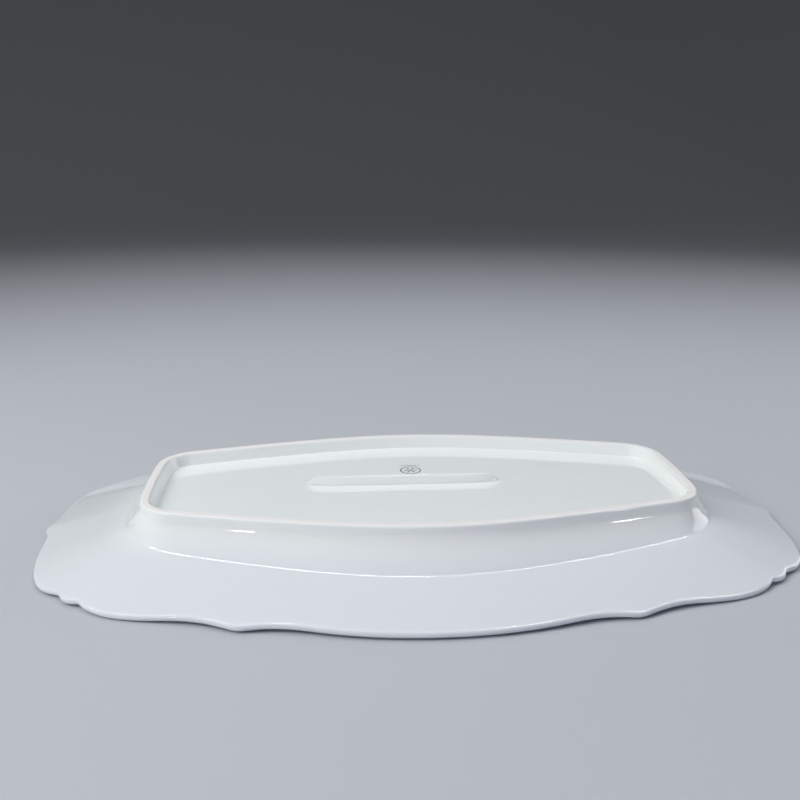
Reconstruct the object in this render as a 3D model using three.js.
// China serving platter, shown face down: rim on the table, foot ring up.
// Millimetres, +Z up, +X along the length, origin on the table under the middle.
import * as THREE from "three";

// Overall plan and height
const LENGTH = 406; // 16 in, over the small points at the two ends
const WIDTH = 248; // over the broad bows of the long sides
const HEIGHT = 32.4; // table to the bearing face of the foot ring

// Foot ring, plan at its outer edge: the long sides bow softly, the ends hardly at all
const FOOT_LENGTH = 295;
const FOOT_WIDTH = 146;
const FOOT_SIDE_RUN = 0.295; // how fast the long sides draw in towards the ends
const FOOT_SIDE_BOW = 60; // over how much of the length they round at the middle
const FOOT_END_RADIUS = 480; // the ends bow out this gently
const FOOT_CORNER = 16; // corner radius
const BEARING_WIDTH = 4.3; // flat, unglazed face the platter stands on
const FOOT_EDGE = 0.7; // small round on both edges of that face
const FOOT_SPLAY = 0.8; // how far the ring spreads outwards down to the body
const FOOT_DRAFT = 2.8; // and inwards

// Body
const BASE_Z = 25.6; // flat underside inside and under the foot ring
const BASE_THICK = 4.2; // floor of the dish
const RIM_THICK = 3.4; // edge of the rim, fully rounded
const BODY_THICK = 4.2; // wall at the junction of cavetto and rim
const CAVETTO_SIDE = 15; // wall spreads this far past the foot ring along the sides
const CAVETTO_END = 8.6; // and at the ends
const JUNCTION_SIDE = 13; // height where wall meets rim, at the middle of a side
const JUNCTION_END = 17.4; // and at the ends
const FLOOR_IN = 3.5; // food side of the floor ends this far inside the ring's edge
const SPINE = 0.45; // sections fan out from a spine this share of the length

// Support foot in the middle of the base, and the printed mark beside it
const RIB_LENGTH = 109;
const RIB_WIDTH = 6.4;
const RIB_CREST = 2; // width of its rounded top
const RIB_POINT = 4; // higher keeps the sides straight further before the pointed ends
const RIB_HEIGHT = 4.5; // crest stands just short of the bearing face
const RIB_X = -8; // hand placed, a little off the middle
const RIB_Y = 5.4;
const MARK_WIDTH = 13;
const MARK_DEPTH = 15;
const MARK_THICK = 0.25;
const MARK_X = -2.3;
const MARK_Y = 26.2;

const GAP = 0.3; // left between neighbouring pieces
const RING_INNER_FOOT = FOOT_EDGE + BEARING_WIDTH + FOOT_DRAFT; // in from the outer edge

// Rim outline, one quarter from the point at the end to the middle of a long side.
// Each piece is a cubic curve: share of half length, share of half width.
const NOTCH_END = [0.982, 0.1];
const NOTCH_LOW = [0.877, 0.59];
const NOTCH_HIGH = [0.823, 0.664];
const LOBE_END = [0.616, 0.813];
const SHOULDER = [0.452, 0.908];
const BOW_START = [0.31, 0.925];
const QUARTER = [
  { from: [1, 0], by: [[1, 0.04], [0.984, 0.058]], to: NOTCH_END, n: 2, lift: [3, 2.6] },
  { by: [[0.977, 0.33], [0.975, 0.544]], to: NOTCH_LOW, n: 6, lift: [2.6, 0] },
  { by: [[0.873, 0.634], [0.845, 0.669]], to: NOTCH_HIGH, n: 3, lift: [0, 0] },
  { by: [[0.803, 0.728], [0.74, 0.789]], to: LOBE_END, n: 6, lift: [0, 0] },
  { by: [[0.552, 0.827], [0.505, 0.86]], to: SHOULDER, n: 4, lift: [0, 0] },
  { by: [[0.42, 0.896], [0.362, 0.902]], to: BOW_START, n: 2, lift: [0, 0] },
  { by: [[0.24, 0.959], [0.14, 1]], to: [0, 1], n: 4, lift: [0, 0] },
];

const bezier = (a, b, c, d, t) => {
  const s = 1 - t;
  return s * s * s * a + 3 * s * s * t * b + 3 * s * t * t * c + t * t * t * d;
};

// Rim edge points with the height the edge is held off the table, all the way round.
function rimOutline() {
  const quarter = [];
  let start = QUARTER[0].from;
  for (const piece of QUARTER) {
    for (let i = 0; i < piece.n; i++) {
      const t = i / piece.n;
      const point = [0, 1].map((k) =>
        bezier(start[k], piece.by[0][k], piece.by[1][k], piece.to[k], t),
      );
      const lift = piece.lift[0] + (piece.lift[1] - piece.lift[0]) * t;
      quarter.push({ x: (point[0] * LENGTH) / 2, y: (point[1] * WIDTH) / 2, lift });
    }
    start = piece.to;
  }
  const middle = { x: 0, y: WIDTH / 2, lift: 0 };
  const half = [
    ...quarter,
    middle,
    ...quarter.slice(1).reverse().map((p) => ({ ...p, x: -p.x })),
  ];
  const end = { ...quarter[0], x: -quarter[0].x };
  return [...half, end, ...half.slice(1).reverse().map((p) => ({ ...p, y: -p.y }))];
}

// Half width of the foot ring at a station along the length.
function footSide(x) {
  return FOOT_WIDTH / 2 - FOOT_SIDE_RUN * (Math.hypot(x, FOOT_SIDE_BOW) - FOOT_SIDE_BOW);
}

// Half length of the foot ring at y, a distance from its centre line.
function footEnd(y) {
  return FOOT_LENGTH / 2 - y ** 2 / (2 * FOOT_END_RADIUS);
}

// Distance outside the foot ring's outer edge (negative inside it).
function footDistance(x, y) {
  const u = Math.abs(x) - (footEnd(y) - FOOT_CORNER);
  const v = Math.abs(y) - (footSide(x) - FOOT_CORNER);
  const outside = Math.hypot(Math.max(u, 0), Math.max(v, 0));
  return outside + Math.min(Math.max(u, v), 0) - FOOT_CORNER;
}

// A section runs from the spine, through the foot ring, to the rim edge.
function section(edge) {
  const sx = edge.x * SPINE;
  const at = (t) => ({ x: sx + (edge.x - sx) * t, y: edge.y * t });
  const reach = Math.hypot(edge.x - sx, edge.y);
  const where = (distance) => {
    let low = 0;
    let high = 1;
    for (let i = 0; i < 40; i++) {
      const mid = (low + high) / 2;
      const p = at(mid);
      if (footDistance(p.x, p.y) < distance) low = mid;
      else high = mid;
    }
    return low;
  };
  const foot = at(where(0));
  const endwise = Math.min(Math.abs(foot.x) / (FOOT_LENGTH / 2), 1) ** 2;
  const blend = (side, end) => side + (end - side) * endwise;
  const cavetto = blend(CAVETTO_SIDE, CAVETTO_END);
  return {
    at,
    where,
    reach,
    lift: edge.lift,
    cavetto,
    junction: where(cavetto),
    junctionZ: blend(JUNCTION_SIDE, JUNCTION_END),
  };
}

const SECTIONS = rimOutline().map(section);

// Closes rows of points, one point per section, into a skin; the order of rows sets the outside.
function skin(rows, ringClosed) {
  const count = SECTIONS.length;
  const points = rows.flat();
  const index = [];
  const last = ringClosed ? rows.length : rows.length - 1;
  for (let r = 0; r < last; r++) {
    const next = (r + 1) % rows.length;
    for (let c = 0; c < count; c++) {
      const d = (c + 1) % count;
      const a = r * count + c;
      const b = r * count + d;
      const e = next * count + c;
      const f = next * count + d;
      index.push(a, e, b, b, e, f);
    }
  }
  return weld(points, index);
}

// Joins points that coincide (the two halves meet on the spine) and drops flat faces.
function weld(points, index) {
  const seen = new Map();
  const unique = [];
  const map = points.map((p) => {
    const key = p.map((v) => Math.round(v * 1000)).join();
    if (!seen.has(key)) {
      seen.set(key, unique.length);
      unique.push(p);
    }
    return seen.get(key);
  });
  const faces = [];
  for (let i = 0; i < index.length; i += 3) {
    const [a, b, c] = [map[index[i]], map[index[i + 1]], map[index[i + 2]]];
    if (a !== b && b !== c && a !== c) faces.push(a, b, c);
  }
  const geometry = new THREE.BufferGeometry();
  geometry.setAttribute("position", new THREE.Float32BufferAttribute(unique.flat(), 3));
  geometry.setIndex(faces);
  geometry.computeVertexNormals();
  return geometry;
}

const row = (pick) => SECTIONS.map((s) => {
  const { t, z } = pick(s);
  const p = s.at(t);
  return [p.x, p.y, z];
});

function dishGeometry() {
  const r = RIM_THICK / 2;
  const rows = [];
  // Underside, from the middle of the base outwards
  rows.push(row(() => ({ t: 0, z: BASE_Z })));
  rows.push(row((s) => ({ t: s.where(-RING_INNER_FOOT), z: BASE_Z })));
  rows.push(row((s) => ({ t: s.where(FOOT_SPLAY), z: BASE_Z })));
  // Wall: share of the way out, share of the way down
  for (const [out, down] of [[0.12, 0.2], [0.4, 0.46], [0.7, 0.77], [0.88, 0.94], [1, 1]]) {
    rows.push(row((s) => {
      const t = s.where(FOOT_SPLAY + (s.cavetto - FOOT_SPLAY) * out);
      return { t, z: BASE_Z + (s.junctionZ - BASE_Z) * down };
    }));
  }
  // Rim and its rounded edge
  const rimTop = (s, share) => {
    const edge = { t: 1 - r / s.reach, z: RIM_THICK + s.lift };
    return {
      t: s.junction + (edge.t - s.junction) * share,
      z: s.junctionZ + (edge.z - s.junctionZ) * share,
    };
  };
  for (const share of [0.35, 0.7, 1]) rows.push(row((s) => rimTop(s, share)));
  for (const turn of [45, 90, 135, 180]) {
    const a = THREE.MathUtils.degToRad(turn);
    rows.push(row((s) => ({
      t: 1 - (r - r * Math.sin(a)) / s.reach,
      z: s.lift + r + r * Math.cos(a),
    })));
  }
  // Food side, from the rim back to the middle of the floor
  for (const share of [0.7, 0.35]) {
    rows.push(row((s) => {
      const top = rimTop(s, share);
      return { t: top.t, z: top.z - RIM_THICK - (BODY_THICK - RIM_THICK) * (1 - share) };
    }));
  }
  const floorZ = BASE_Z - BASE_THICK;
  for (const [out, down] of [[1, 1], [0.8, 0.86], [0.5, 0.5], [0.22, 0.14], [0, 0]]) {
    rows.push(row((s) => {
      const low = s.junctionZ - BODY_THICK;
      const t = s.where(-FLOOR_IN + (FLOOR_IN + s.cavetto) * out);
      return { t, z: floorZ + (low - floorZ) * down };
    }));
  }
  rows.push(row(() => ({ t: 0, z: floorZ })));
  return skin(rows, false);
}

function footRingGeometry() {
  const low = BASE_Z + GAP;
  const rise = HEIGHT - low;
  const inner = -FOOT_EDGE - BEARING_WIDTH;
  // Distance from the ring's outer edge, height
  const profile = [
    [-RING_INNER_FOOT, low],
    [inner - FOOT_DRAFT * 0.6, low + rise * 0.3],
    [inner - FOOT_DRAFT * 0.15, low + rise * 0.85],
    [inner, HEIGHT],
    [-FOOT_EDGE, HEIGHT],
    [0, HEIGHT - FOOT_EDGE],
    [FOOT_SPLAY * 0.4, low + rise * 0.4],
    [FOOT_SPLAY, low],
  ];
  return skin(profile.map(([d, z]) => row((s) => ({ t: s.where(d), z }))), true);
}

// A long rounded ridge: outlines of pointed ovals stacked up to the crest.
function ribGeometry() {
  const low = BASE_Z + GAP;
  const levels = [
    [1, 1, 0],
    [0.965, 0.76, 0.35],
    [0.9, 0.52, 0.85],
    [0.85, RIB_CREST / RIB_WIDTH, 1],
  ];
  const steps = 18;
  const oval = ([long, wide, up]) => Array.from({ length: 2 * steps }, (_, i) => {
    const a = (Math.PI * i) / steps;
    const x = Math.cos(a);
    const y = Math.sign(Math.sin(a)) * (1 - Math.abs(x) ** RIB_POINT);
    return [
      RIB_X + (RIB_LENGTH / 2) * long * x,
      RIB_Y + (RIB_WIDTH / 2) * wide * y,
      low + RIB_HEIGHT * up,
    ];
  });
  return stack(levels.map(oval));
}

// Stacked outlines of equal count, closed with a point at the bottom and the top.
function stack(outlines) {
  const count = outlines[0].length;
  const points = outlines.flat();
  const index = [];
  for (let r = 0; r + 1 < outlines.length; r++) {
    for (let c = 0; c < count; c++) {
      const d = (c + 1) % count;
      index.push(r * count + c, r * count + d, (r + 1) * count + c);
      index.push(r * count + d, (r + 1) * count + d, (r + 1) * count + c);
    }
  }
  const cap = (r, up) => {
    const outline = outlines[r];
    const mean = [0, 1, 2].map((k) => outline.reduce((sum, p) => sum + p[k], 0) / count);
    points.push(mean);
    for (let c = 0; c < count; c++) {
      const a = r * count + c;
      const b = r * count + ((c + 1) % count);
      index.push(...(up ? [a, b, points.length - 1] : [b, a, points.length - 1]));
    }
  };
  cap(0, false);
  cap(outlines.length - 1, true);
  return weld(points, index);
}

function markGeometry() {
  const low = BASE_Z + GAP;
  const oval = (z) => Array.from({ length: 28 }, (_, i) => {
    const a = (2 * Math.PI * i) / 28;
    const x = MARK_X + (MARK_WIDTH / 2) * Math.cos(a);
    return [x, MARK_Y + (MARK_DEPTH / 2) * Math.sin(a), z];
  });
  return stack([oval(low), oval(low + MARK_THICK)]);
}

const porcelain = () => new THREE.MeshStandardMaterial({
  color: 0xe9eded,
  roughness: 0.12,
  metalness: 0,
});
const ink = new THREE.MeshStandardMaterial({ color: 0x5f7068, roughness: 0.25, metalness: 0 });

function named(name, geometry, material) {
  const mesh = new THREE.Mesh(geometry, material);
  mesh.name = name;
  return mesh;
}

const platter = new THREE.Group();
platter.name = "serving_platter";
platter.add(named("dish", dishGeometry(), porcelain()));
platter.add(named("foot_ring", footRingGeometry(), porcelain()));
platter.add(named("centre_foot", ribGeometry(), porcelain()));
platter.add(named("back_stamp", markGeometry(), ink));

export default platter;
